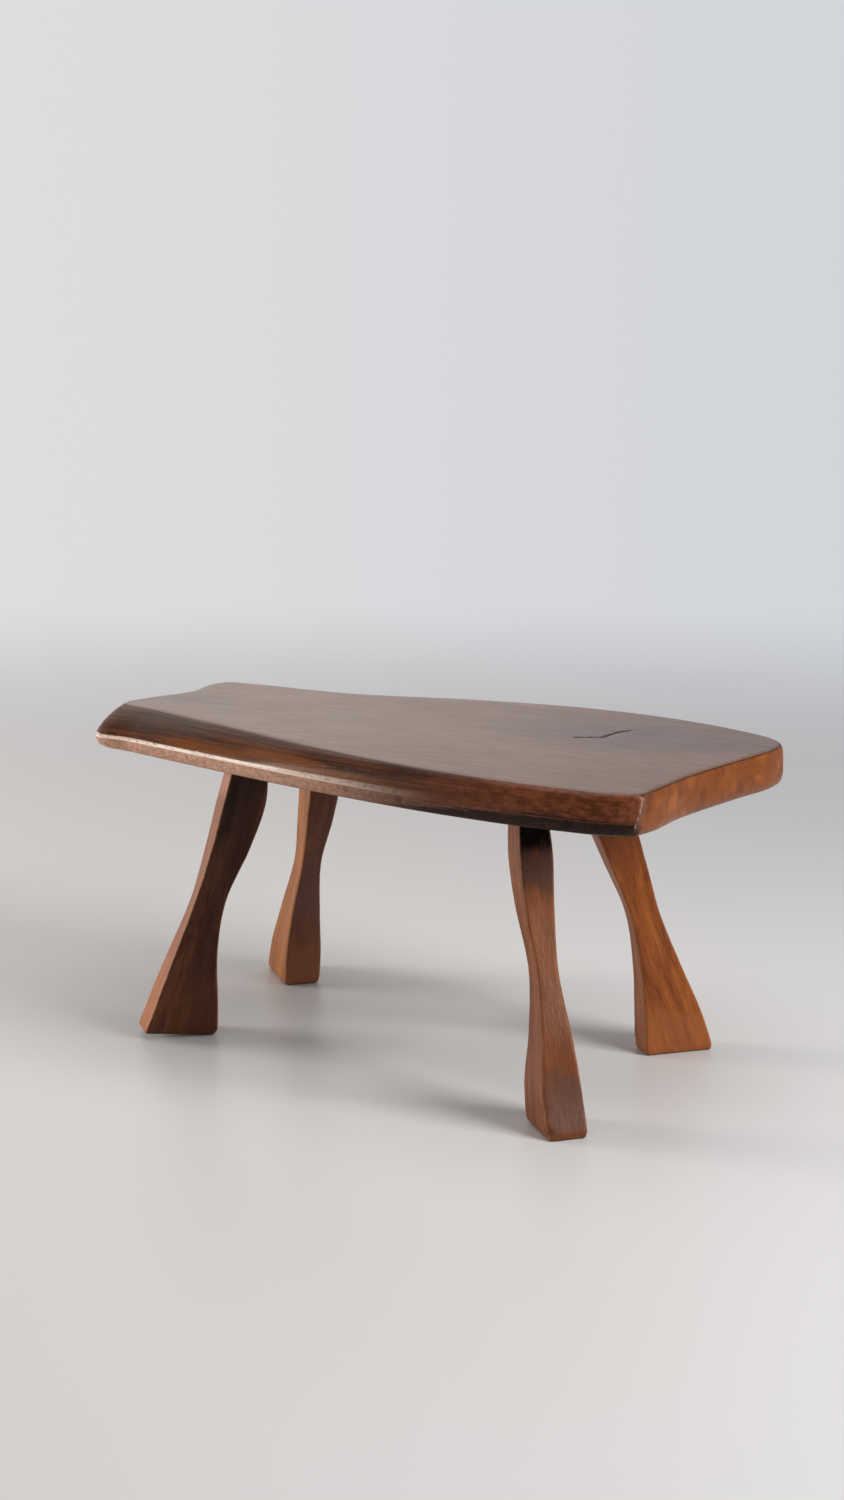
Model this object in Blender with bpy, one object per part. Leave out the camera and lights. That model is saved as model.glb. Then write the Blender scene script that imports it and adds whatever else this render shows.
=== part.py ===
"""Low free-form bench: one live-edge slab standing on four carved, splayed legs.

Metres, +Z up, +X along the slab. The slab's near side is the wide natural edge
(-Y). Each leg is sawn from a plank, so it is S-shaped in the plank's own plane,
and each plank stands on one diagonal of the slab. Two blind dowels hold each
leg: they run straight up out of the leg's flat top into the slab.
"""
import math

import bmesh
import bpy
import numpy as np

MM = 0.001

# ---------------------------------------------------------------- driving sizes
BENCH_HEIGHT = 0.300          # floor to the flat top
SLAB_LENGTH = 0.640           # along X, over the widest line of the edge
SLAB_WIDTH = 0.356            # along Y, over the widest line of the edge
SLAB_THICKNESS = 0.036
LIP_HEIGHT = 0.0125           # widest line of the edge, above the underside

FOOT_WIDTH = 0.0695           # leg section, along the plank
FOOT_THICKNESS = 0.0355       # leg section, through the plank
WAIST_WIDTH = 0.031
WAIST_THICKNESS = 0.020
HIP_WIDTH = 0.041
HIP_THICKNESS = 0.030
NECK_WIDTH = 0.034            # where the leg meets the slab
NECK_THICKNESS = 0.027
LEG_ARRIS_RADIUS = 0.003      # softened long edges of a leg
SOLE_TUCK = 0.0035            # how far the foot rounds in towards its sole
SOLE_TUCK_HEIGHT = 0.009

DOWEL_RADIUS = 0.004
DOWEL_IN_SLAB = 0.020
DOWEL_IN_LEG = 0.016
DOWEL_WALL = 0.0025           # wood left between a dowel hole and the leg's edge
DOWEL_CHAMFER = 0.0008
GLUE_GAP = 0.0003             # clearance between touching pieces
END_SPACE = 0.001             # room for glue past a dowel's end

# --------------------------------------------------------------- mesh fineness
OUTLINE_STEP = 0.013
WANE_STEPS = 6
NOSE_STEPS = 4
LEG_RINGS = 21
TUCK_STEPS = 3
CORNER_STEPS = 3
DOWEL_SIDES = 20

# ------------------------------------------------------------ the slab's outline
# Widest line of the edge, drawn freehand in mm and stretched to the slab's length
# and width. wane is the way from there in to the flat top's arris, and undercut
# is how far the edge turns back in under the widest line. Counter-clockwise from
# the near left tip.
#   x, y, wane x, wane y, undercut
SLAB_EDGE = (
    (-320, -63, 8, 36, 10),     # near left tip
    (-314, -79, 7, 47, 12),
    (-274, -87, 0, 45, 8),
    (-171, -113, -2, 36, 5),
    (-42, -146, 1, 22, 5),
    (104, -172, 4, 12, 5),
    (208, -178, 4, 9, 6),
    (262, -174, 5, 8, 8),
    (282, -163, -1, 3, 8),      # near right corner
    (286, -146, -3, 1, 6),
    (291, -83, -3, 0, 6),
    (309, 17, -3, 0, 6),
    (319, 72, -3, 0, 5),
    (318, 96, -4, -3, 5),       # far right corner
    (303, 120, -4, -5, 4),
    (251, 148, -2, -6, 4),
    (124, 178, 0, -8, 4),
    (-16, 165, 1, -8, 4),
    (-151, 130, 1, -7, 4),
    (-261, 127, 1, -6, 4),
    (-290, 123, 5, -5, 5),      # far left corner
    (-296, 98, 4, -1, 4),
    (-292, 60, 4, 0, 3),
    (-312, -5, 5, 8, 3),
)

# -------------------------------------------------------------------- the legs
# Shares of the leg's height at which its section and place are set, sole to neck.
SECTION_HEIGHTS = (0.0, 0.12, 0.30, 0.50, 0.70, 0.86, 1.0)
ANKLE_WIDTH_BLEND = 0.76      # of the way from waist to foot
CALF_WIDTH_BLEND = 0.30
CALF_THICKNESS_BLEND = 0.54
KNEE_BLEND = 0.66             # of the way from waist to hip

# yaw: way the plank's outer edge points. end_inset and side_inset: neck centre
# in from the slab's ends and sides. sweep: how far out the plank's middle lies
# at each section height, sole to neck, in mm. lean: sideways shift of the sole,
# in mm. width and thickness: this leg's sections against the named ones.
# sole_lift: how far the sole's outer end stands clear of the floor.
LEGS = {
    "front_left": {
        "yaw": 225.0, "end": -1, "side": -1, "end_inset": 0.172, "side_inset": 0.109,
        "sweep": (66, 61, 52, 37, 18, 6, 0), "lean": -18,
        "width": 1.04, "thickness": 0.96, "sole_lift": 0.007,
    },
    "back_left": {
        "yaw": 135.0, "end": -1, "side": 1, "end_inset": 0.183, "side_inset": 0.120,
        "sweep": (88, 81, 67, 47, 24, 10, 0), "lean": 9,
        "width": 1.03, "thickness": 1.06, "sole_lift": 0.0,
    },
    "front_right": {
        "yaw": -45.0, "end": 1, "side": -1, "end_inset": 0.159, "side_inset": 0.063,
        "sweep": (74, 64, 57, 39, 16, 6, 0), "lean": 4,
        "width": 0.82, "thickness": 1.05, "sole_lift": 0.0,
    },
    "back_right": {
        "yaw": 45.0, "end": 1, "side": 1, "end_inset": 0.171, "side_inset": 0.137,
        "sweep": (85, 80, 69, 54, 35, 19, 0), "lean": -24,
        "width": 1.0, "thickness": 0.87, "sole_lift": 0.0,
    },
}

# ------------------------------------------------------------- values that follow
UNDERSIDE = BENCH_HEIGHT - SLAB_THICKNESS
LEG_HEIGHT = UNDERSIDE - GLUE_GAP


# ------------------------------------------------------------------ small helpers
def clear_scene():
    for old in list(bpy.data.objects):
        bpy.data.objects.remove(old, do_unlink=True)


def wood(name, colour, roughness):
    material = bpy.data.materials.new(name)
    material.use_nodes = True
    shader = material.node_tree.nodes["Principled BSDF"]
    shader.inputs["Base Color"].default_value = (*colour, 1.0)
    shader.inputs["Roughness"].default_value = roughness
    shader.inputs["Metallic"].default_value = 0.0
    return material


def add_object(name, bm, material=None):
    bmesh.ops.recalc_face_normals(bm, faces=bm.faces)
    mesh = bpy.data.meshes.new(name)
    bm.to_mesh(mesh)
    bm.free()
    mesh.shade_smooth()
    mesh.set_sharp_from_angle(angle=math.radians(35))
    body = bpy.data.objects.new(name, mesh)
    bpy.context.scene.collection.objects.link(body)
    if material:
        mesh.materials.append(material)
    return body


def loft(rings):
    """A closed body from rings of equal size, with a flat face at both ends."""
    bm = bmesh.new()
    rows = [[bm.verts.new(point) for point in ring] for ring in rings]
    count = len(rows[0])
    for low, high in zip(rows, rows[1:]):
        for i in range(count):
            j = (i + 1) % count
            bm.faces.new((low[i], low[j], high[j], high[i]))
    bm.faces.new(list(reversed(rows[0])))
    bm.faces.new(rows[-1])
    return bm


def hermite(p0, p1, m0, m1, t):
    """Cubic from p0 to p1 with the slopes m0 and m1, at t from 0 to 1."""
    a = 2 * t**3 - 3 * t**2 + 1
    b = t**3 - 2 * t**2 + t
    c = -2 * t**3 + 3 * t**2
    d = t**3 - t**2
    return a * p0 + b * m0 + c * p1 + d * m1


def slope(before, here, after, gap_before, gap_after):
    """Slope of the parabola through three unevenly spaced values."""
    left = (here - before) / gap_before
    right = (after - here) / gap_after
    return (left * gap_after + right * gap_before) / (gap_before + gap_after)


def smooth_loop(rows, spans):
    """A closed smooth curve through rows. The first two columns are x and y."""
    count = len(rows)
    gaps = [np.linalg.norm(rows[(i + 1) % count][:2] - rows[i][:2]) for i in range(count)]
    slopes = [
        slope(rows[i - 1], rows[i], rows[(i + 1) % count], gaps[i - 1], gaps[i])
        for i in range(count)
    ]
    points = []
    for i in range(count):
        j = (i + 1) % count
        for step in range(spans[i]):
            t = step / spans[i]
            points.append(hermite(rows[i], rows[j], slopes[i] * gaps[i], slopes[j] * gaps[i], t))
    return np.array(points)


def smooth_values(places, values, wanted):
    """A smooth open curve through values at places, read at the wanted places."""
    gaps = np.diff(places)
    slopes = [(values[1] - values[0]) / gaps[0]]
    for i in range(1, len(values) - 1):
        slopes.append(slope(values[i - 1], values[i], values[i + 1], gaps[i - 1], gaps[i]))
    slopes.append((values[-1] - values[-2]) / gaps[-1])
    result = []
    for place in wanted:
        i = min(int(np.searchsorted(places, place, side="right")) - 1, len(gaps) - 1)
        t = (place - places[i]) / gaps[i]
        result.append(
            hermite(values[i], values[i + 1], slopes[i] * gaps[i], slopes[i + 1] * gaps[i], t)
        )
    return np.array(result)


# ----------------------------------------------------------------------- the slab
def widest_line():
    """Points along SLAB_EDGE in metres, stretched to the slab's length and width."""
    rows = np.array(SLAB_EDGE, dtype=float) * MM
    gaps = np.linalg.norm(np.roll(rows[:, :2], -1, axis=0) - rows[:, :2], axis=1)
    spans = [max(3, round(gap / OUTLINE_STEP)) for gap in gaps]
    curve = smooth_loop(rows, spans)
    for axis, size in ((0, SLAB_LENGTH), (1, SLAB_WIDTH)):
        low, high = curve[:, axis].min(), curve[:, axis].max()
        curve[:, axis] = (curve[:, axis] - (low + high) / 2) * size / (high - low)
    return curve


def edge_loops():
    """Arris, widest line and base line of the slab's edge, point for point."""
    curve = widest_line()
    lip = curve[:, :2]
    arris = lip + curve[:, 2:4]
    along = np.roll(lip, -1, axis=0) - np.roll(lip, 1, axis=0)
    along /= np.linalg.norm(along, axis=1)[:, None]
    inward = np.stack((-along[:, 1], along[:, 0]), axis=1)
    base = lip + inward * curve[:, 4:5]
    return arris, lip, base


def edge_power(wane):
    """Superellipse power of the wane: a long soft curve, or a crisp rounded face."""
    narrow, wide = 0.004, 0.030
    share = np.clip((wane - narrow) / (wide - narrow), 0, 1)
    return 3.0 - 1.5 * share


def slab_rings():
    """Rings of the slab from its flat top down to its flat underside."""
    arris, lip, base = edge_loops()
    power = edge_power(np.linalg.norm(arris - lip, axis=1))[:, None]
    drop = SLAB_THICKNESS - LIP_HEIGHT
    rings = []
    for step in range(WANE_STEPS + 1):
        angle = math.pi / 2 * step / WANE_STEPS
        out = math.sin(angle) ** (2 / power)
        down = 1 - max(math.cos(angle), 0.0) ** (2 / power)
        flat = arris + (lip - arris) * out
        rings.append(np.hstack((flat, BENCH_HEIGHT - drop * down)))
    for step in range(1, NOSE_STEPS + 1):
        angle = math.pi / 2 * step / NOSE_STEPS
        flat = lip + (base - lip) * (1 - math.cos(angle))
        height = np.full((len(flat), 1), UNDERSIDE + LIP_HEIGHT * (1 - math.sin(angle)))
        rings.append(np.hstack((flat, height)))
    return rings


def make_slab(material):
    return add_object("slab_top", loft(slab_rings()), material)


# ----------------------------------------------------------------------- the legs
def neck_centre(leg):
    x = leg["end"] * (SLAB_LENGTH / 2 - leg["end_inset"])
    y = leg["side"] * (SLAB_WIDTH / 2 - leg["side_inset"])
    return np.array((x, y))


def plank_directions(leg):
    """Outward along the plank, and across it, seen from above."""
    yaw = math.radians(leg["yaw"])
    return np.array((math.cos(yaw), math.sin(yaw))), np.array((-math.sin(yaw), math.cos(yaw)))


def blend(low, high, share):
    return low + (high - low) * share


def section_sizes(leg):
    """Width and thickness at each section height, sole to neck."""
    widths = (
        FOOT_WIDTH,
        blend(WAIST_WIDTH, FOOT_WIDTH, ANKLE_WIDTH_BLEND),
        blend(WAIST_WIDTH, FOOT_WIDTH, CALF_WIDTH_BLEND),
        WAIST_WIDTH,
        blend(WAIST_WIDTH, HIP_WIDTH, KNEE_BLEND),
        HIP_WIDTH,
        NECK_WIDTH,
    )
    thicknesses = (
        FOOT_THICKNESS,
        FOOT_THICKNESS,
        blend(WAIST_THICKNESS, FOOT_THICKNESS, CALF_THICKNESS_BLEND),
        WAIST_THICKNESS,
        blend(WAIST_THICKNESS, HIP_THICKNESS, KNEE_BLEND),
        HIP_THICKNESS,
        NECK_THICKNESS,
    )
    return np.array(widths) * leg["width"], np.array(thicknesses) * leg["thickness"]


def rounded_rectangle(width, thickness, radius):
    """Corner arcs of a rectangle, counter-clockwise, as (along, across) pairs."""
    points = []
    for quarter, (u, v) in enumerate(((1, 1), (-1, 1), (-1, -1), (1, -1))):
        for step in range(CORNER_STEPS + 1):
            angle = math.pi / 2 * (quarter + step / CORNER_STEPS)
            along = u * (width / 2 - radius) + radius * math.cos(angle)
            across = v * (thickness / 2 - radius) + radius * math.sin(angle)
            points.append((along, across))
    return points


def leg_curves(leg, shares):
    """Width, thickness and sweep of a leg at shares of its height."""
    widths, thicknesses = section_sizes(leg)
    sweep = np.array(leg["sweep"]) * MM
    return [smooth_values(SECTION_HEIGHTS, v, shares) for v in (widths, thicknesses, sweep)]


def tucks():
    """Heights and insets of the foot's rounding, sole first."""
    for step in range(TUCK_STEPS):
        angle = math.pi / 2 * step / TUCK_STEPS
        yield SOLE_TUCK_HEIGHT * (1 - math.cos(angle)), SOLE_TUCK * (1 - math.sin(angle))


def leg_rings(leg):
    """Level rings of a leg from sole to neck. The sole may slope a little."""
    heights = list(tucks())
    rise = (LEG_HEIGHT - SOLE_TUCK_HEIGHT) / LEG_RINGS
    heights += [(SOLE_TUCK_HEIGHT + i * rise, 0.0) for i in range(LEG_RINGS + 1)]
    wide, thick, sweep = leg_curves(leg, [height / LEG_HEIGHT for height, _ in heights])
    outward, across = plank_directions(leg)
    neck = neck_centre(leg)
    rings = []
    for i, (height, inset) in enumerate(heights):
        share = height / LEG_HEIGHT
        lift = leg["sole_lift"] * max(0.0, 1 - height / (3 * SOLE_TUCK_HEIGHT))
        middle = neck + outward * sweep[i] + across * leg["lean"] * MM * (1 - share)
        width = wide[i] - 2 * inset
        ring = []
        for u, v in rounded_rectangle(width, thick[i] - 2 * inset, LEG_ARRIS_RADIUS):
            x, y = middle + outward * u + across * v
            ring.append((x, y, height + lift * (u / width + 0.5)))
        rings.append(ring)
    return rings


def make_leg(name, leg, material):
    return add_object("leg_" + name, loft(leg_rings(leg)), material)


# --------------------------------------------------------------------- the dowels
def dowel_centres(leg):
    """Both dowels run straight down, so they keep clear of the sloping leg's sides."""
    outward, _ = plank_directions(leg)
    lowest = 1 - (DOWEL_IN_LEG + END_SPACE) / LEG_HEIGHT
    wide, _, sweep = leg_curves(leg, (lowest, 1.0))
    room = DOWEL_WALL + GLUE_GAP + DOWEL_RADIUS
    outer = (sweep + wide / 2).min() - room
    inner = (sweep - wide / 2).max() + room
    neck = neck_centre(leg)
    return {"outer": neck + outward * outer, "inner": neck + outward * inner}


def circle(centre, radius, height):
    angles = [2 * math.pi * i / DOWEL_SIDES for i in range(DOWEL_SIDES)]
    return [
        (centre[0] + radius * math.cos(a), centre[1] + radius * math.sin(a), height)
        for a in angles
    ]


def make_dowel(name, centre, material):
    low = UNDERSIDE - DOWEL_IN_LEG
    high = UNDERSIDE + DOWEL_IN_SLAB
    small = DOWEL_RADIUS - DOWEL_CHAMFER
    rings = (
        circle(centre, small, low),
        circle(centre, DOWEL_RADIUS, low + DOWEL_CHAMFER),
        circle(centre, DOWEL_RADIUS, high - DOWEL_CHAMFER),
        circle(centre, small, high),
    )
    return add_object(name, loft(rings), material)


def make_hole_cutter(centres):
    """One bar for each dowel, through the joint between the leg and the slab."""
    whole = bmesh.new()
    for centre in centres:
        low = UNDERSIDE - DOWEL_IN_LEG - END_SPACE
        high = UNDERSIDE + DOWEL_IN_SLAB + END_SPACE
        radius = DOWEL_RADIUS + GLUE_GAP
        bar = loft((circle(centre, radius, low), circle(centre, radius, high)))
        mesh = bpy.data.meshes.new("bar")
        bar.to_mesh(mesh)
        bar.free()
        whole.from_mesh(mesh)
        bpy.data.meshes.remove(mesh)
    cutter = add_object("dowel_holes", whole)
    cutter.hide_render = True
    cutter.display_type = "WIRE"
    return cutter


def drill(body, cutter):
    holes = body.modifiers.new("dowel holes", "BOOLEAN")
    holes.operation = "DIFFERENCE"
    holes.solver = "EXACT"
    holes.object = cutter


# ------------------------------------------------------------------- the assembly
def stand_on_origin(bodies):
    """Shift everything so that the origin is below the middle of the whole box."""
    corners = np.array([vertex.co for body in bodies for vertex in body.data.vertices])
    middle = (corners.min(axis=0) + corners.max(axis=0)) / 2
    for body in bodies:
        for vertex in body.data.vertices:
            vertex.co.x -= middle[0]
            vertex.co.y -= middle[1]


def main():
    clear_scene()
    slab_wood = wood("slab_wood", (0.16, 0.065, 0.035), 0.32)
    leg_wood = wood("leg_wood", (0.20, 0.075, 0.035), 0.38)
    dowel_wood = wood("dowel_wood", (0.55, 0.38, 0.22), 0.60)

    slab = make_slab(slab_wood)
    legs = []
    dowels = []
    centres = []
    for name, leg in LEGS.items():
        legs.append(make_leg(name, leg, leg_wood))
        for place, centre in dowel_centres(leg).items():
            dowels.append(make_dowel("dowel_" + name + "_" + place, centre, dowel_wood))
            centres.append(centre)
    cutter = make_hole_cutter(centres)
    for body in [slab] + legs:
        drill(body, cutter)
    stand_on_origin([slab] + legs + dowels + [cutter])


main()
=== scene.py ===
"""Looks of the low free-form bench: one live-edge slab on four carved legs.

Each shown piece is made again, finely and evenly, from the rings of its CAD node. It
then gets the marks of its making and its long use: the waves left by a scraper, the
crack in the top, the chipped tip, the dents along the arrises and the worn feet.
"""

import math
from collections import Counter

import bmesh
import bpy
import numpy as np
from mathutils import Matrix, Vector, geometry, noise


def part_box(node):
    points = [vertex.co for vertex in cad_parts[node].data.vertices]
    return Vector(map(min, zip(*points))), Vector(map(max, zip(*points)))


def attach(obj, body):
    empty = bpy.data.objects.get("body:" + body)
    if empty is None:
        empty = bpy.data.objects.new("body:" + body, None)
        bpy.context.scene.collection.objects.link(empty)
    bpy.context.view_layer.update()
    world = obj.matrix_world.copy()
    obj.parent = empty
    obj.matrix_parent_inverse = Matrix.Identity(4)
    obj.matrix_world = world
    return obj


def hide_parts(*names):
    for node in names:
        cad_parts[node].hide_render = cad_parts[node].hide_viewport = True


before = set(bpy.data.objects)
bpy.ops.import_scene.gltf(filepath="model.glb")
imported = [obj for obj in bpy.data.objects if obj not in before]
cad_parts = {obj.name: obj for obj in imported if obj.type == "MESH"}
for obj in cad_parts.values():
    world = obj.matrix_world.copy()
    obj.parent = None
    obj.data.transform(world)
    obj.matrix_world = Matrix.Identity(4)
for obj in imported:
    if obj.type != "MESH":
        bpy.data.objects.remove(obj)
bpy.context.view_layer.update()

MM = 0.001
MERGE = 1e-5

# ---- mesh fineness
SLAB_ALONG = 4                # fine points for each one of the CAD outline
SLAB_DOWN = 4
LEG_DOWN = 4
LEG_CORNER = 3
LEG_FLAT = 10
LONG_GAP = 5 * MM             # a gap in a leg's section longer than this is a flat
TOP_SPACING = 6.5 * MM        # points within the slab's flat top
TOP_ROW_GAP = 0.866           # gap between their rows, in spacings
STRAIGHT = 3                  # a gap this many times the one beside it stays straight

# ---- marks of the hand
TOP_HOLLOW = 0.35 * MM        # how far the flat top sinks in places
HOLLOW_FADE = 30 * MM         # the top stays flat within this distance of its arris
CRACK_DEPTH = 3.5 * MM
CRACK_STEPS = 3               # fine points for each one of the crack's route
CRACK_UNEVEN = 0.25           # how much the crack's width varies along it
# The crack's route over the top: x, y and half its width, in mm.
CRACK_ROUTE = (
    (139.5, 37.0, 0.00),
    (146.0, 42.5, 0.16),
    (152.5, 47.0, 0.22),
    (158.0, 50.5, 0.34),
    (162.0, 54.0, 0.72),
    (162.8, 60.0, 0.60),
    (163.8, 70.0, 0.52),
    (166.4, 80.0, 0.40),
    (169.6, 89.0, 0.26),
    (174.0, 97.5, 0.00),
)
# Chips and dents: where, in mm, how wide across and how deep.
SLAB_CHIPS = (
    ((-301.8, -75.0, 279.5), 3.6, 1.4),
    ((-294.7, -76.6, 278.5), 2.6, 0.9),
    ((-310.3, -71.3, 279.5), 3.4, 1.3),
    ((-287.3, -76.1, 279.5), 2.4, 1.0),
    ((-314.7, -58.7, 284.6), 3.6, 2.0),
    ((-312.6, -64.9, 283.3), 2.6, 1.4),
    ((-315.4, -51.7, 287.3), 4.2, 1.2),
    ((-232, -90, 279), 2.6, 0.5),
    ((-180, -103, 279), 2.4, 0.4),
    ((64, -159, 272), 5.0, 0.8),
    ((228, -172, 272), 6.0, 0.9),
    ((262, -166, 268), 4.0, 0.8),
    ((318, 60, 297), 4.0, 0.5),
    ((120, 178, 292), 4.0, 0.6),
    ((-150, 134, 294), 5.0, 0.6),
)
CHIP_REACH = 1.3              # furthest point that a chip moves, in its own widths
CHIP_GRAIN = 1.6 * MM         # size of the ragged breaks in a chip
CORNER_RIDGE = (0.2842, -0.1508)   # the near right corner's crease, seen from above
RIDGE_LEAN = 0.28
RIDGE_HEIGHT = 1.2 * MM
RIDGE_REACH = 5 * MM
RIDGE_START = 3 * MM          # the crease grows from nothing over this much drop
RIDGE_END = 33 * MM
FACET_WIDTH = 8 * MM          # the facet beside the crease, where a sheen is painted
LEFT_END = 0.82               # how much of the end grain's colour the left end shows
ARRIS_WIDTH = 2.4 * MM        # how far a leg's arris is felt on its flats
# Tool marks: how deep, how long and how wide they are, and their seeds.
SLAB_MARKS = (0.9 * MM, (0.075, 0.030, 0.018))
LEG_MARKS = (0.7 * MM, (0.016, 0.016, 0.045))
SLAB_SEED = 3.0
FIRST_LEG_SEED = 10.0


# ---- rings of a node
def merged_copy(node):
    """A copy of a CAD node's mesh with its doubled vertices merged."""
    bm = bmesh.new()
    bm.from_mesh(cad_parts[node].data)
    bmesh.ops.remove_doubles(bm, verts=bm.verts, dist=MERGE)
    return bm


def in_a_hole(point, holes):
    """Whether a point lies in one of the boxes, or just outside it."""
    spare = 1.5 * MM
    return any(
        all(low[i] - spare < point[i] < high[i] + spare for i in range(3)) for low, high in holes
    )


def in_order(ring):
    """The ring's vertices one after another, counter-clockwise from above."""
    start = min(ring, key=lambda vert: (vert.co.x, vert.co.y))
    ordered = [start]
    left = set(ring) - {start}
    while left:
        here = ordered[-1]
        step = [e.other_vert(here) for e in here.link_edges if e.other_vert(here) in left]
        following = min(step, key=lambda vert: (vert.co - here.co).length)
        ordered.append(following)
        left.discard(following)
    points = np.array([vert.co for vert in ordered])
    return points if loop_area(points) > 0 else points[::-1]


def loop_area(points):
    x, y = points[:, 0], points[:, 1]
    return float(np.sum(x * np.roll(y, -1) - y * np.roll(x, -1))) / 2


def nearest_on(points, loop):
    """For each point, the nearest one on the closed line through the loop's points."""
    start = loop[None]
    span = np.roll(loop, -1, axis=0)[None] - start
    share = np.sum((points[:, None] - start) * span, axis=2) / np.sum(span**2, axis=2)
    on_line = start + np.clip(share, 0, 1)[..., None] * span
    best = np.argmin(np.linalg.norm(points[:, None] - on_line, axis=2), axis=1)
    return on_line[np.arange(len(points)), best]


def turned_to(points, above):
    """The same loop, point for point with the one above it."""
    if len(points) != len(above):
        return nearest_on(above, points)
    fits = [np.sum((np.roll(points, -i, axis=0) - above) ** 2) for i in range(len(points))]
    return np.roll(points, -int(np.argmin(fits)), axis=0)


def put_back_points(bm):
    """Splits the edges that pass straight over a level ring without a point of their own."""
    heights = Counter(round(vert.co.z, 5) for vert in bm.verts)
    whole = max(heights.values())
    for height, count in heights.items():
        if count > 0.7 * whole:
            everything = bm.verts[:] + bm.edges[:] + bm.faces[:]
            bmesh.ops.bisect_plane(
                bm, geom=everything, dist=2 * MERGE, plane_co=(0, 0, height), plane_no=(0, 0, 1)
            )


def wall_rings(node, level):
    """The rings of a CAD node's side wall, from the top down, point for point.

    Faces more level than the given one are its flat ends, and go with its holes.
    """
    bm = merged_copy(node)
    holes = [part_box(name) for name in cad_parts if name.startswith("dowel")]
    ends = [
        face for face in bm.faces
        if abs(face.normal.z) > level or in_a_hole(face.calc_center_median(), holes)
    ]
    bmesh.ops.delete(bm, geom=ends, context="FACES")
    put_back_points(bm)
    rim = {vert for edge in bm.edges if edge.is_boundary for vert in edge.verts}
    top = max(vert.co.z for vert in rim)
    ring = {vert for vert in rim if vert.co.z > top - MM}
    rings = []
    done = set()
    while ring:
        points = in_order(ring)
        rings.append(turned_to(points, rings[-1]) if rings else points)
        done |= ring
        ring = {e.other_vert(vert) for vert in ring for e in vert.link_edges} - done
    bm.free()
    return np.array(rings)


def hermite(p0, p1, m0, m1, t):
    """A point on the curve from p0 to p1 that starts along m0 and ends along m1."""
    a = 2 * t**3 - 3 * t**2 + 1
    b = t**3 - 2 * t**2 + t
    return a * p0 + b * m0 + (1 - a) * p1 + (t**3 - t**2) * m1


def smooth_rows(rows, steps, closed):
    """A smooth curve through the rows, with steps[i] rows for the gap after row i.

    Where a short gap meets a much longer one, the long one is straight.
    """
    after = np.roll(rows, -1, axis=0) - rows
    gap = np.maximum(np.linalg.norm(after, axis=-1, keepdims=True), 1e-9)
    ahead = after / gap
    behind = np.roll(ahead, 1, axis=0)
    gap_behind = np.roll(gap, 1, axis=0)
    slope = (behind * gap + ahead * gap_behind) / (gap + gap_behind)
    slope = np.where(gap > STRAIGHT * gap_behind, ahead, slope)
    slope = np.where(gap_behind > STRAIGHT * gap, behind, slope)
    if not closed:
        slope[0] = ahead[0]
        slope[-1] = behind[-1]
    count = len(rows)
    fine = []
    for i in range(count if closed else count - 1):
        j = (i + 1) % count
        for step in range(steps[i]):
            t = step / steps[i]
            fine.append(hermite(rows[i], rows[j], slope[i] * gap[i], slope[j] * gap[i], t))
    if not closed:
        fine.append(rows[-1])
    return np.array(fine)


# ---- mesh in layers
def outward(rings):
    """Unit normals of a grid of rings that are counter-clockwise, top ring first."""
    along = np.roll(rings, -1, axis=1) - np.roll(rings, 1, axis=1)
    down = np.gradient(rings, axis=0)
    normal = np.cross(down, along)
    return normal / np.maximum(np.linalg.norm(normal, axis=-1, keepdims=True), 1e-12)


def press_in(points, normals, centre, width, depth):
    """A ragged dent or chip round one place."""
    offset = points - np.array(centre) * MM
    near = np.linalg.norm(offset, axis=-1) / (width * MM)
    for index in zip(*np.nonzero(near < CHIP_REACH)):
        ragged = 0.35 * noise.noise(Vector(points[index]) / CHIP_GRAIN)
        share = max(0.0, 1 - (near[index] + ragged) ** 2)
        points[index] -= normals[index] * depth * MM * min(1.0, 1.6 * share)


def grid_faces(bm, rings):
    """Vertices of the rings, top first, joined into a wall that faces outwards."""
    rows = [[bm.verts.new(point) for point in ring] for ring in rings]
    count = len(rows[0])
    for high, low in zip(rows, rows[1:]):
        for i in range(count):
            j = (i + 1) % count
            bm.faces.new((high[i], low[i], low[j], high[j]))
    return rows


def in_scene(name, data):
    """A new object in the scene."""
    body = bpy.data.objects.new(name, data)
    bpy.context.scene.collection.objects.link(body)
    return body


def finished(bm, name, numbers):
    """A shaded object from a mesh.

    numbers holds each vertex's values by name, for the finish and the tool marks to read.
    """
    mesh = bpy.data.meshes.new(name)
    bm.to_mesh(mesh)
    bm.free()
    mesh.shade_smooth()
    for key, values in numbers.items():
        layer = mesh.attributes.new(key, "FLOAT", "POINT")
        layer.data.foreach_set("value", np.asarray(values, dtype=np.float32))
    return in_scene(name, mesh)


# ---- the slab
def add_corner_ridge(rings, normals):
    """A crease down the near right corner, between the long side and the end.

    Gives how close each point is to the crease, and the facet on its right, where the finish
    paints a sheen.
    """
    side = rings[:, :, :2] - np.array(CORNER_RIDGE)
    drop = rings[0, 0, 2] - rings[..., 2]
    past = (side[..., 0] + side[..., 1]) / math.sqrt(2) + RIDGE_LEAN * drop
    near = np.linalg.norm(side, axis=-1) < 6 * RIDGE_REACH
    fade = np.clip(drop / RIDGE_START, 0, 1) * np.clip((RIDGE_END - drop) / (5 * MM), 0, 1)
    fade = fade * near
    crease = np.clip(1 - np.abs(past) / RIDGE_REACH, 0, 1) * fade
    rings += normals * (crease * RIDGE_HEIGHT)[..., None]
    facet = np.clip(past / MM, 0, 1) * np.clip((FACET_WIDTH - past) / (4 * MM), 0, 1) * fade
    return crease, facet


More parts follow.
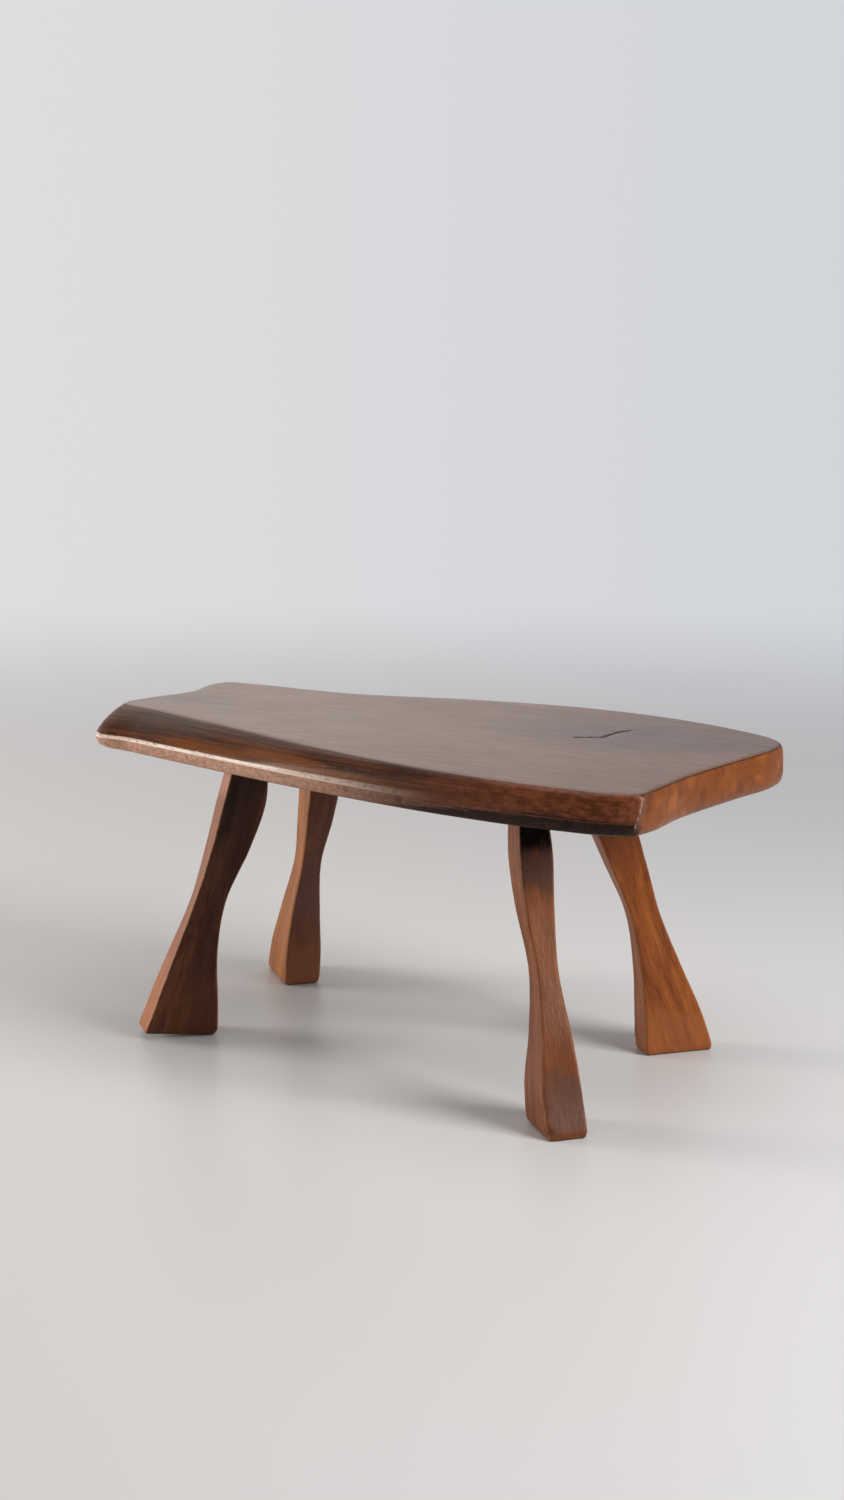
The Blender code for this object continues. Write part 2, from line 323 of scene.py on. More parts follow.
def crack_sides():
    """The crack's two sides and its middle in the plane, and half its width."""
    route = np.array(CRACK_ROUTE) * MM
    fine = smooth_rows(route, [CRACK_STEPS] * len(route), closed=False)
    ahead = np.gradient(fine[:, :2], axis=0)
    ahead /= np.linalg.norm(ahead, axis=1)[:, None]
    across = np.stack((-ahead[:, 1], ahead[:, 0]), axis=1)
    half = np.maximum(fine[:, 2:3], 0)
    half = half * (1 + CRACK_UNEVEN * np.sin(np.arange(len(fine)) * 2.3))[:, None]
    return fine[:, :2] + across * half, fine[:, :2] - across * half, fine[:, :2], half


def inside_loop(points, loop):
    """Whether each point lies within the loop."""
    x, y = points[:, 0:1], points[:, 1:2]
    x0, y0 = loop[:, 0], loop[:, 1]
    x1, y1 = np.roll(x0, -1), np.roll(y0, -1)
    spans = (y0 > y) != (y1 > y)
    rise = np.where(y1 == y0, 1e-12, y1 - y0)
    crossing = x < (x1 - x0) * (y - y0) / rise + x0
    return np.sum(spans & crossing, axis=1) % 2 == 1


def distance_to(points, loop):
    return np.min(np.linalg.norm(points[:, None] - loop[None], axis=2), axis=1)


def top_points(arris, crack):
    """Even rows of points within the flat top, clear of its arris and of the crack."""
    low, high = arris.min(axis=0), arris.max(axis=0)
    xs = np.arange(low[0], high[0], TOP_SPACING)
    ys = np.arange(low[1], high[1], TOP_SPACING * TOP_ROW_GAP)
    grid = np.array([
        (x + (TOP_SPACING / 2 if row % 2 else 0), y) for row, y in enumerate(ys) for x in xs
    ])
    grid = grid[inside_loop(grid, arris)]
    grid = grid[distance_to(grid, arris) > 0.6 * TOP_SPACING]
    return grid[distance_to(grid, crack) > 0.4 * TOP_SPACING]


def hollow(points, arris):
    """How far the top sinks at each point: long, low waves that end at the arris."""
    fade = np.clip(distance_to(points, arris) / HOLLOW_FADE, 0, 1)
    waves = [noise.noise(Vector((x * 9, y * 22, 0.7))) for x, y in points]
    return TOP_HOLLOW * fade**2 * (0.5 + 0.5 * np.array(waves))


def add_top(bm, arris_verts):
    """The flat top, sewn to the wall's first ring. Gives the vertices of the crack."""
    arris = np.array([vert.co[:2] for vert in arris_verts])
    height = arris_verts[0].co.z
    left, right, middle, half = crack_sides()
    rim = np.vstack((left[:-1], right[:0:-1]))
    spots = top_points(arris, rim)
    whole = np.vstack((arris, rim, spots))
    first, second = len(arris), len(rim)
    loops = [list(range(first)), list(range(first, first + second))]
    edges = [(loop[i], loop[(i + 1) % len(loop)]) for loop in loops for i in range(len(loop))]
    found = geometry.delaunay_2d_cdt([Vector(p) for p in whole], edges, [], 0, 1e-9)
    places = np.array([tuple(p) for p in found[0]])
    sink = hollow(places, arris)
    verts = []
    for i, origin in enumerate(found[3]):
        if origin and origin[0] < first:
            verts.append(arris_verts[origin[0]])
        else:
            verts.append(bm.verts.new((*places[i], height - sink[i])))
    centres = np.array([places[list(face)].mean(axis=0) for face in found[2]])
    kept = inside_loop(centres, arris) & ~inside_loop(centres, rim)
    for face, keep in zip(found[2], kept):
        if keep:
            bm.faces.new([verts[i] for i in face])
    at = {
        origin[0] - first: verts[i] for i, origin in enumerate(found[3])
        if origin and first <= origin[0] < first + second
    }
    return list(at.values()) + add_crack_walls(bm, at, len(left), second, middle, half)


def add_crack_walls(bm, at, steps, rim_count, middle, half):
    """Two sloping walls that meet in the bottom of the crack. Gives the bottom's vertices."""
    left = [at[i] for i in range(steps - 1)]
    right = [at[0]] + [at[rim_count - i] for i in range(1, steps - 1)]
    end = at[steps - 1]
    left.append(end)
    right.append(end)
    deepest = float(half.max())
    bottom = [left[0]]
    for i in range(1, steps - 1):
        depth = CRACK_DEPTH * math.sqrt(float(half[i, 0]) / deepest)
        bottom.append(bm.verts.new((*middle[i], left[i].co.z - depth)))
    bottom.append(end)
    for i in range(steps - 1):
        for side, flip in ((left, False), (right, True)):
            corners = []
            for vert in (side[i], side[i + 1], bottom[i + 1], bottom[i]):
                if vert not in corners:
                    corners.append(vert)
            bm.faces.new(corners[::-1] if flip else corners)
    return bottom[1:-1]


def make_slab():
    """The slab, with the numbers that its finish reads.

    edge runs from 0 at the arris over 1 at the lip to 2 at the underside.
    """
    rings = wall_rings("slab_top", 0.995)
    lip = int(np.argmax([loop_area(ring) for ring in rings])) * SLAB_DOWN
    rings = smooth_rows(rings, [SLAB_DOWN] * len(rings), closed=False)
    count = rings.shape[1]
    rings = smooth_rows(rings.swapaxes(0, 1), [SLAB_ALONG] * count, closed=True)
    rings = np.ascontiguousarray(rings.swapaxes(0, 1))
    normals = outward(rings)
    crease, facet = add_corner_ridge(rings, normals)
    for centre, width, depth in SLAB_CHIPS:
        press_in(rings, normals, centre, width, depth)

    below = len(rings) - 1 - lip
    down = np.arange(len(rings))
    edge = np.where(down <= lip, down / lip, 1 + (down - lip) / below)
    marked = np.clip(edge / 0.25, 0, 1) * np.clip((2 - edge) / 0.2, 0, 1)
    bm = bmesh.new()
    rows = grid_faces(bm, rings)
    bm.faces.new(rows[-1][::-1])
    crack_verts = add_top(bm, rows[0])
    bmesh.ops.recalc_face_normals(bm, faces=bm.faces)
    bm.verts.index_update()
    sideways = np.median(normals[lip - 4:lip + 4], axis=0)
    endwise = np.where(sideways[:, 0] > 0, sideways[:, 0], LEFT_END * np.abs(sideways[:, 0]))
    on_wall = {
        "edge": edge[:, None], "marked": marked[:, None], "crease": crease, "facet": facet,
        "near_side": -sideways[:, 1], "end_side": endwise,
    }
    rest = np.zeros(len(bm.verts) - crease.size)
    numbers = {
        name: np.concatenate((np.broadcast_to(values, crease.shape).ravel(), rest))
        for name, values in on_wall.items()
    }
    numbers["crack"] = np.zeros(len(bm.verts))
    numbers["crack"][[vert.index for vert in crack_verts]] = 1.0
    return finished(bm, "slab", numbers)


# ---- the legs
# Chips on a leg's long arrises: share of its height, which corner, width and depth in
# mm. Corners count counter-clockwise from the outer left one, seen from above.
LEG_CHIPS = {
    "front_left": ((0.62, 0, 3.0, 0.5), (0.03, 1, 4.0, 0.9)),
    "back_left": ((0.02, 2, 4.0, 1.0), (0.45, 1, 3.0, 0.4)),
    "front_right": (
        (0.215, 0, 3.4, 0.8), (0.20, 0, 2.6, 0.6), (0.10, 0, 3.0, 0.8), (0.075, 0, 2.6, 0.7),
        (0.035, 0, 3.6, 1.0), (0.02, 0, 4.0, 1.1), (0.50, 3, 2.6, 0.4),
    ),
    "back_right": ((0.03, 3, 4.0, 0.9), (0.30, 0, 3.0, 0.4)),
}


def corner_closeness(section, steps):
    """1 at the middle of each rounded corner of a leg's section, fading to the flats.

    Also gives each corner's middle point in the section.
    """
    gaps = np.linalg.norm(np.roll(section, -1, axis=0) - section, axis=1)
    place = np.concatenate(([0], np.cumsum(gaps)))
    around = place[-1]
    starts = np.cumsum([0] + steps)
    count = len(section)
    close = np.zeros(count)
    middles = []
    for i, step in enumerate(steps):
        if steps[i - 1] == LEG_FLAT and step != LEG_FLAT:
            middle = (starts[i] + 3 * LEG_CORNER // 2) % count
            away = np.abs(place[:-1] - place[middle])
            away = np.minimum(away, around - away)
            close = np.maximum(close, np.exp(-((away / ARRIS_WIDTH) ** 2)))
            middles.append(middle)
    return close, middles


def plank_width(section):
    """The level direction in which a leg's section is longest: across its plank."""
    level = section[:, :2] - section[:, :2].mean(axis=0)
    longest = np.linalg.eigh(level.T @ level)[1][:, -1]
    return np.array((*longest, 0.0))


def make_leg(name):
    """A leg, the middle of its foot and the way its grain runs.

    rise runs from 0 at the floor to 1 at the top. sawn is 1 on the sides that cut the
    plank's width, and 0 on its broad faces.
    """
    node = "leg_" + name
    rings = wall_rings(node, 0.985)
    gaps = np.linalg.norm(np.roll(rings, -1, axis=1) - rings, axis=2).mean(axis=0)
    steps = [LEG_FLAT if gap > LONG_GAP else LEG_CORNER for gap in gaps]
    rings = smooth_rows(rings, [LEG_DOWN] * len(rings), closed=False)
    rings = smooth_rows(rings.swapaxes(0, 1), steps, closed=True)
    rings = np.ascontiguousarray(rings.swapaxes(0, 1))
    normals = outward(rings)
    arris, corners = corner_closeness(rings[len(rings) // 2], steps)
    heights = rings[:, 0, 2]
    sawn = np.abs(normals @ plank_width(rings[-1]))
    for share, corner, width, depth in LEG_CHIPS[name]:
        row = int(np.argmin(np.abs(heights - share * heights[0])))
        centre = rings[row, corners[corner]] / MM
        press_in(rings, normals, centre, width, depth)

    rise = rings[..., 2] / heights[0]
    marked = np.clip(rings[..., 2] / (12 * MM), 0, 1) * np.clip((1 - rise) / 0.03, 0, 1)
    bm = bmesh.new()
    rows = grid_faces(bm, rings)
    bm.faces.new(rows[-1][::-1])
    bm.faces.new(rows[0])
    numbers = {"sawn": sawn.ravel(), "rise": rise.ravel(), "marked": marked.ravel()}
    leg = finished(bm, node, {"arris": np.tile(arris, len(rings)), **numbers})
    head, foot = (Vector(ring.mean(axis=0)) for ring in (rings[0], rings[-1]))
    return leg, foot, (head - foot).normalized()


# ---- filling a tree
class Net:
    """A node tree being filled. A value is a number, a vector, a colour or a socket.

    A colour is written as red, green and blue.
    """

    def __init__(self, tree):
        self.tree = tree

    def feed(self, socket, value):
        if isinstance(value, bpy.types.NodeSocket):
            self.tree.links.new(value, socket)
        elif socket.type == "RGBA":
            socket.default_value = (*value, 1)
        else:
            socket.default_value = value

    def add(self, kind, inputs=None, **settings):
        node = self.tree.nodes.new(kind)
        for key, value in settings.items():
            setattr(node, key, value)
        for key, value in (inputs or {}).items():
            self.feed(node.inputs[key], value)
        return node

    def math(self, operation, *values, clamp=False):
        node = self.add("ShaderNodeMath", dict(enumerate(values)), operation=operation)
        node.use_clamp = clamp
        return node.outputs[0]

    def times(self, first, second):
        return self.math("MULTIPLY", first, second)

    def times_plus(self, first, second, third):
        return self.math("MULTIPLY_ADD", first, second, third)

    def plus(self, first, second):
        return self.math("ADD", first, second)

    def minus(self, first, second):
        return self.math("SUBTRACT", first, second)

    def vector(self, operation, *values):
        node = self.add("ShaderNodeVectorMath", dict(enumerate(values)), operation=operation)
        return node.outputs["Value" if operation in ("LENGTH", "DOT_PRODUCT") else "Vector"]

    def scaled(self, vector, factor):
        inputs = {0: vector, "Scale": factor}
        return self.add("ShaderNodeVectorMath", inputs, operation="SCALE").outputs[0]

    def stretch(self, vector, scale, shift=(0.0, 0.0, 0.0), turn=(0.0, 0.0, 0.0)):
        inputs = {"Vector": vector, "Scale": scale, "Location": shift, "Rotation": turn}
        return self.add("ShaderNodeMapping", inputs).outputs["Vector"]

    def noise(self, vector, scale, detail=2.0, rough=0.5):
        inputs = {"Vector": vector, "Scale": scale, "Detail": detail, "Roughness": rough}
        return self.add("ShaderNodeTexNoise", inputs).outputs["Fac"]

    def ease(self, value, low, high, to_low=0.0, to_high=1.0):
        inputs = {0: value, 1: low, 2: high, 3: to_low, 4: to_high}
        node = self.add("ShaderNodeMapRange", inputs, interpolation_type="SMOOTHSTEP")
        return node.outputs["Result"]

    def mix(self, share, first, second, blend="MIX"):
        node = self.add("ShaderNodeMix", data_type="RGBA", blend_type=blend)
        self.feed(node.inputs["Factor"], share)
        self.feed(node.inputs[6], first)
        self.feed(node.inputs[7], second)
        return node.outputs[2]

    def number(self, name):
        return self.add("ShaderNodeAttribute", attribute_name=name).outputs["Fac"]

    def use(self, group, **inputs):
        node = self.add("ShaderNodeGroup", node_tree=group)
        for key, value in inputs.items():
            self.feed(node.inputs[key.replace("_", " ")], value)
        return node.outputs


def new_group(name, inputs, outputs, kind="ShaderNodeTree"):
    """An empty group, as (group, net, its inputs, its output node's inputs).

    inputs and outputs give each kind of socket its names.
    """
    group = bpy.data.node_groups.new(name, kind)
    for way, sockets in (("INPUT", inputs), ("OUTPUT", outputs)):
        for socket, labels in sockets.items():
            for label in labels:
                group.interface.new_socket(label, in_out=way, socket_type="NodeSocket" + socket)
    net = Net(group)
    start = net.add("NodeGroupInput").outputs
    return group, net, start, net.add("NodeGroupOutput").inputs


# ---- tool marks
def tool_marks_tree():
    """Low waves pressed into a carved face, longer with the grain than across it."""
    inputs = {
        "Geometry": ["Geometry"], "Float": ["Depth", "Seed"], "Vector": ["Length"],
        "Material": ["Finish"],
    }
    group, net, start, end = new_group(
        "tool marks", inputs, {"Geometry": ["Geometry"]}, "GeometryNodeTree"
    )
    place = net.add("GeometryNodeInputPosition").outputs[0]
    waves = {"W": start["Seed"], "Scale": 1.0, "Detail": 1.5}
    waves["Vector"] = net.vector("DIVIDE", place, start["Length"])
    waves = net.add("ShaderNodeTexNoise", waves, noise_dimensions="4D")
    marked = net.add("GeometryNodeInputNamedAttribute", {"Name": "marked"}, data_type="FLOAT")
    depth = net.times(waves.outputs["Fac"], marked.outputs["Attribute"])
    depth = net.times(depth, start["Depth"])
    normal = net.add("GeometryNodeInputNormal").outputs[0]
    moved = {"Geometry": start["Geometry"], "Offset": net.scaled(normal, net.times(depth, -1.0))}
    moved = net.add("GeometryNodeSetPosition", moved)
    real = net.add("GeometryNodeRealizeInstances", {"Geometry": moved.outputs[0]})
    done = {"Geometry": real.outputs[0], "Material": start["Finish"]}
    done = net.add("GeometryNodeSetMaterial", done)
    net.feed(end["Geometry"], done.outputs[0])
    return group


def carve(body, tree, finish, depth, length, seed):
    """Presses the tool marks into a body and gives it its finish."""
    marks = body.modifiers.new("tool marks", "NODES")
    marks.node_group = tree
    values = {"Depth": depth, "Length": length, "Seed": seed, "Finish": finish}
    for item in tree.interface.items_tree:
        if item.in_out == "INPUT" and item.name in values:
            marks[item.identifier] = values[item.name]
    evaluated = body.evaluated_get(bpy.context.evaluated_depsgraph_get())
    carved = bpy.data.meshes.new_from_object(evaluated)
    body.modifiers.remove(marks)
    body.data = carved


# ---- shared effects
def wood_figure_group():
    """Growth rings round the X axis, long fibres and open pores, all along X."""
    group, net, start, end = new_group(
        "wood figure",
        {"Vector": ["Vector"], "Float": ["Ring Gap", "Wander"]},
        {"Float": ["Rings", "Fibre", "Pores"]},
    )
    long = net.stretch(start["Vector"], (0.22, 1.0, 1.0))
    drift = net.add("ShaderNodeTexNoise", {"Vector": long, "Scale": 11.0, "Detail": 2.0})
    drift = net.vector("SUBTRACT", drift.outputs["Color"], (0.5, 0.5, 0.5))
    bent = net.vector("ADD", start["Vector"], net.scaled(drift, start["Wander"]))
    radius = net.vector("LENGTH", net.vector("MULTIPLY", bent, (0.04, 1.0, 1.0)))
    turns = net.math("DIVIDE", radius, start["Ring Gap"])
    turns = net.plus(turns, net.times(net.noise(long, 34.0), 0.9))
    wave = net.math("SINE", net.times(turns, math.tau))
    rings = net.math("POWER", net.times_plus(wave, 0.5, 0.5), 1.8)
    coarse = net.noise(net.stretch(start["Vector"], (9.0, 130.0, 130.0)), 1.0, 3.0)
    fine = net.noise(net.stretch(start["Vector"], (38.0, 620.0, 620.0)), 1.0, 3.0, 0.6)
    fibres = net.times_plus(coarse, 0.40, net.times(fine, 0.60))
    pores = net.noise(net.stretch(start["Vector"], (75.0, 1250.0, 1250.0)), 1.0, 1.0)
    net.feed(end["Rings"], rings)
    net.feed(end["Fibre"], net.ease(fibres, 0.34, 0.66))
    net.feed(end["Pores"], net.ease(pores, 0.60, 0.74))
    return group


def timber_colour_group():
    """Three tones of one timber laid out by its figure, with its pores darkened."""
    group, net, start, end = new_group(
        "timber colour",
        {"Color": ["Dark", "Middle", "Light"], "Float": ["Rings", "Fibre", "Pores", "Cloud"]},
        {"Color": ["Color"]},
    )
    tone = net.times(start["Rings"], 0.14)
    tone = net.times_plus(start["Fibre"], 0.42, tone)
    tone = net.times_plus(start["Cloud"], 0.44, tone)
    colour = net.mix(net.ease(tone, 0.12, 0.52), start["Dark"], start["Middle"])
    colour = net.mix(net.ease(tone, 0.48, 0.88), colour, start["Light"])
    pored = net.mix(0.75, colour, start["Dark"], "MULTIPLY")
    net.feed(end["Color"], net.mix(net.times(start["Pores"], 0.55), colour, pored))
    return group


def patch_group():
    """A soft, ragged patch on a surface that is laid out by two numbers."""
    numbers = [
        "Along", "Across", "Middle Along", "Middle Across", "Half Length", "Half Width",
        "Rag", "Ragged",
    ]
    group, net, start, end = new_group("patch", {"Float": numbers}, {"Float": ["Mask"]})
    along = net.minus(start["Along"], start["Middle Along"])
    along = net.math("DIVIDE", along, start["Half Length"])
    across = net.minus(start["Across"], start["Middle Across"])
    across = net.math("DIVIDE", across, start["Half Width"])
    square = net.plus(net.math("POWER", along, 2.0), net.math("POWER", across, 2.0))
    rag = net.times(net.minus(start["Rag"], 0.5), start["Ragged"])
    reach = net.plus(net.math("SQRT", square), rag)
    net.feed(end["Mask"], net.ease(reach, 0.45, 1.0, 1.0, 0.0))
    return group


def edge_wear_group():
    """Where hands and knocks have rubbed an arris: broken lines, not an even band."""
    group, net, start, end = new_group(
        "edge wear",
        {"Vector": ["Vector"], "Float": ["Arris", "Amount"]},
        {"Float": ["Worn", "Bare"]},
    )
    broken = net.noise(start["Vector"], 46.0, 4.0, 0.6)
    fine = net.noise(start["Vector"], 330.0, 2.0)
    worn = net.plus(start["Arris"], net.times_plus(broken, 1.3, -0.75))
    worn = net.plus(worn, net.times_plus(fine, 0.5, -0.25))
    net.feed(end["Worn"], net.times(net.ease(worn, 0.45, 1.15), start["Amount"]))
    net.feed(end["Bare"], net.times(net.ease(worn, 1.05, 1.25), start["Amount"]))
    return group


def wax_group():
    """Roughness of old wax: thin along the fibres, dull where it has been rubbed off."""
    group, net, start, end = new_group(
        "old wax",
        {"Vector": ["Vector"], "Float": ["Fibre", "Worn", "Gloss"]},
        {"Float": ["Roughness"]},
    )
    cloud = net.noise(start["Vector"], 17.0, 3.0)
    smear = net.noise(net.stretch(start["Vector"], (0.2, 1.0, 1.0)), 120.0, 2.0)
    rough = net.minus(1.0, start["Gloss"])
    rough = net.times_plus(net.minus(cloud, 0.5), 0.22, rough)
    rough = net.times_plus(net.minus(smear, 0.5), 0.12, rough)
    rough = net.times_plus(net.minus(0.5, start["Fibre"]), 0.08, rough)
    rough = net.math("MULTIPLY_ADD", start["Worn"], 0.18, rough, clamp=True)
    net.feed(end["Roughness"], rough)
    return group


def new_material(name):
    material = bpy.data.materials.new(name)
    material.use_nodes = True
    net = Net(material.node_tree)
    shader = material.node_tree.nodes["Principled BSDF"]
    place = net.add("ShaderNodeTexCoord").outputs["Object"]
    return material, net, shader, place


def finish_with(net, shader, colour, rough, height, distance):
    """Gives a shader its colour, its roughness and its fine relief."""
    net.feed(shader.inputs["Base Color"], colour)
    net.feed(shader.inputs["Roughness"], rough)
    inputs = {"Height": height, "Distance": distance, "Strength": 1.0}
    net.feed(shader.inputs["Normal"], net.add("ShaderNodeBump", inputs).outputs["Normal"])


def lay_timber(net, timber, tones, wood, **changed):
    """The colour of a timber. Its figure comes from wood, unless changed says otherwise."""
    dark, middle, light = tones
    figure = {key: wood[key] for key in ("Rings", "Fibre", "Pores") if key not in changed}
    return net.use(timber, Dark=dark, Middle=middle, Light=light, **figure, **changed)["Color"]


def lay_patch(net, patch, colour, where, shape, strength, tint, within=None):
    """One ragged patch laid over a colour.

    where is the two numbers that lay out the surface and the noise that breaks the
    outline. shape is the patch's middle, its half length and width, and its raggedness.
    within is a mask that it keeps inside.
    """
    along, across, rag = where
    middle_along, middle_across, length, width, ragged = shape
    mask = net.use(
        patch, Along=along, Across=across, Rag=rag, Middle_Along=middle_along,
        Middle_Across=middle_across, Half_Length=length, Half_Width=width, Ragged=ragged,
    )["Mask"]
    if within:
        mask = net.times(mask, within)
    return net.mix(net.times(mask, strength), colour, tint)


# ---- the finishes
# Three tones of each timber, from dark to light.
TOP_TONES = ((0.112, 0.042, 0.016), (0.165, 0.064, 0.024), (0.225, 0.094, 0.037))
WANE_TONES = ((0.042, 0.014, 0.006), (0.082, 0.026, 0.010), (0.125, 0.041, 0.014))
END_TONES = ((0.120, 0.030, 0.006), (0.180, 0.050, 0.009), (0.270, 0.084, 0.016))
DOWEL_TONES = ((0.36, 0.22, 0.12), (0.52, 0.36, 0.21), (0.64, 0.48, 0.31))
# Patches on the flat top: shape over x and y in metres, strength and colour. They are
# the dark wood round the crack, the warm worn field, and a small red knot at the back.
TOP_PATCHES = (
    ((0.175, 0.062, 0.16, 0.080, 1.2), 0.52, (0.052, 0.028, 0.024)),
    ((-0.06, 0.0, 0.26, 0.10, 1.4), 0.30, (0.200, 0.090, 0.044)),
    ((0.152, 0.1565, 0.0035, 0.0022, 0.5), 0.85, (0.110, 0.016, 0.010)),
)
# Patches on the natural edge: shape over x and edge, strength and colour. One is grey,
# three are amber where the sapwood shows, and one is black.
AMBER = (0.215, 0.062, 0.012)
WANE_PATCHES = (
    ((-0.245, 0.34, 0.088, 0.40, 1.8), 0.58, (0.050, 0.032, 0.021)),
    ((-0.170, 0.74, 0.075, 0.15, 3.2), 0.72, AMBER),
    ((-0.085, 0.62, 0.060, 0.15, 3.4), 0.72, AMBER),
    ((-0.030, 0.80, 0.090, 0.13, 3.0), 0.72, AMBER),
    ((0.100, 0.24, 0.088, 0.28, 1.3), 0.85, (0.014, 0.008, 0.006)),
)
TOP_AT_RIGHT = (0.090, 0.036, 0.018)
# Painted shade in the bottom of the crack.
CRACK_PAINTED_SHADE = (0.010, 0.006, 0.005)
WANE_RED = (0.215, 0.060, 0.023)
# Partly paler worn wood and partly painted light from the low left window.
NOSE_PINK_WEAR_AND_LIGHT = (0.57, 0.320, 0.220)
NOSE_BROWN = (0.35, 0.175, 0.112)
NOSE_GREY = (0.25, 0.160, 0.115)
# Partly dark bark and partly painted shade in the undercut below the lip at the right.
BARK_AND_SHADE_BLACK = (0.004, 0.002, 0.001)
BARK_AND_SHADE_RED = (0.032, 0.009, 0.005)
UNDER_BROWN = (0.060, 0.030, 0.020)
# A painted sheen on the corner's facet, and a painted highlight, partly pale worn wood, along its
# crease.
FACET_PAINTED_SHEEN = (0.105, 0.056, 0.042)
CREASE_WEAR_AND_HIGHLIGHT = (0.420, 0.300, 0.240)
SEAM_DARK = (0.026, 0.010, 0.006)
# A painted highlight along the lip.
LIP_PAINTED_HIGHLIGHT = (0.950, 0.760, 0.650)
SLAB_WORN = (0.330, 0.200, 0.135)
SLAB_BARE = (0.560, 0.400, 0.290)
LEG_WORN = (0.330, 0.150, 0.070)
# Partly bare rubbed wood and partly a painted highlight along a leg's arrises.
LEG_BARE_AND_HIGHLIGHT = (0.560, 0.400, 0.260)
GRIME = (0.045, 0.025, 0.016)
# What the fibres and flecks multiply a colour by, from their dark to their light.
FLECK_RANGE = ((0.55, 0.50, 0.48), (1.25, 1.25, 1.25))
SAWN_RANGE = ((0.66, 0.64, 0.64), (1.22, 1.24, 1.24))
WOOD_SPECULAR = 0.16
WHOLE = (1.0, 1.0, 1.0)       # a stretch that leaves the size alone


def slab_top_colour(net, groups, place, wood, x, y):
    """Silky brown, darker to the right and round the crack."""
    timber, patch = groups[1:3]
    cloud = net.noise(net.stretch(place, (2.6, 9.0, 9.0)), 1.0, 3.0, 0.55)
    cloud = net.ease(cloud, 0.32, 0.68)
    top = lay_timber(net, timber, TOP_TONES, wood, Cloud=cloud)
    rag = net.noise(net.stretch(place, (5.0, 14.0, 14.0)), 1.0, 3.0)
    right = net.ease(x, 0.02, 0.26)
    top = net.mix(net.times(right, 0.30), top, TOP_AT_RIGHT)
    for shape, strength, tint in TOP_PATCHES:
        top = lay_patch(net, patch, top, (x, y, rag), shape, strength, tint)
    return top


def edge_streaks(net, edge, x, y):
    """Streaks that follow the lip: the fine ones mixed in, and the coarse ones alone."""
    long = (net.times(x, 7.0), net.times(edge, 9.0), net.times(y, 3.0))
    coarse = net.add("ShaderNodeCombineXYZ", dict(enumerate(long))).outputs[0]
    coarse = net.noise(coarse, 1.0, 5.0, 0.65)
    fine = (net.times(x, 22.0), net.times(edge, 30.0))
    fine = net.add("ShaderNodeCombineXYZ", dict(enumerate(fine))).outputs[0]
    fine = net.noise(fine, 1.0, 4.0, 0.6)
    return net.times_plus(fine, 0.35, net.times(coarse, 0.65)), coarse


def wane_colour(net, groups, place, wood, edge, x, streaks, coarse):
    """The natural edge: streaked, amber in places, and red with flecks at the right."""
    timber, patch = groups[1:3]
    wane = lay_timber(
        net, timber, WANE_TONES, wood, Rings=net.ease(coarse, 0.35, 0.65),
        Fibre=net.ease(streaks, 0.36, 0.64), Cloud=net.ease(streaks, 0.40, 0.62),
    )
    for shape, strength, tint in WANE_PATCHES:
        wane = lay_patch(net, patch, wane, (x, edge, streaks), shape, strength, tint)
    red = net.ease(x, 0.02, 0.20)
    wane = net.mix(net.times(red, 0.62), wane, WANE_RED)
    flecks = net.noise(net.stretch(place, (0.35, 1.0, 0.8), (0.0, 0.0, 0.4)), 260.0, 4.0, 0.65)
    flecked = net.mix(net.ease(flecks, 0.40, 0.62), *FLECK_RANGE)
    return net.mix(net.times(red, 0.8), wane, flecked, "MULTIPLY")


def end_colour(net, timber, place, wood, mottle):
    """End grain: redder and more orange, with a mottled face."""
    upright = net.noise(net.stretch(place, (1.0, 1.0, 0.25)), 120.0, 3.0)
    return lay_timber(
        net, timber, END_TONES, wood, Rings=net.ease(upright, 0.15, 0.85),
        Fibre=net.ease(mottle, 0.2, 0.8),
        Cloud=net.ease(net.noise(place, 34.0, 4.0), 0.25, 0.75),
    )


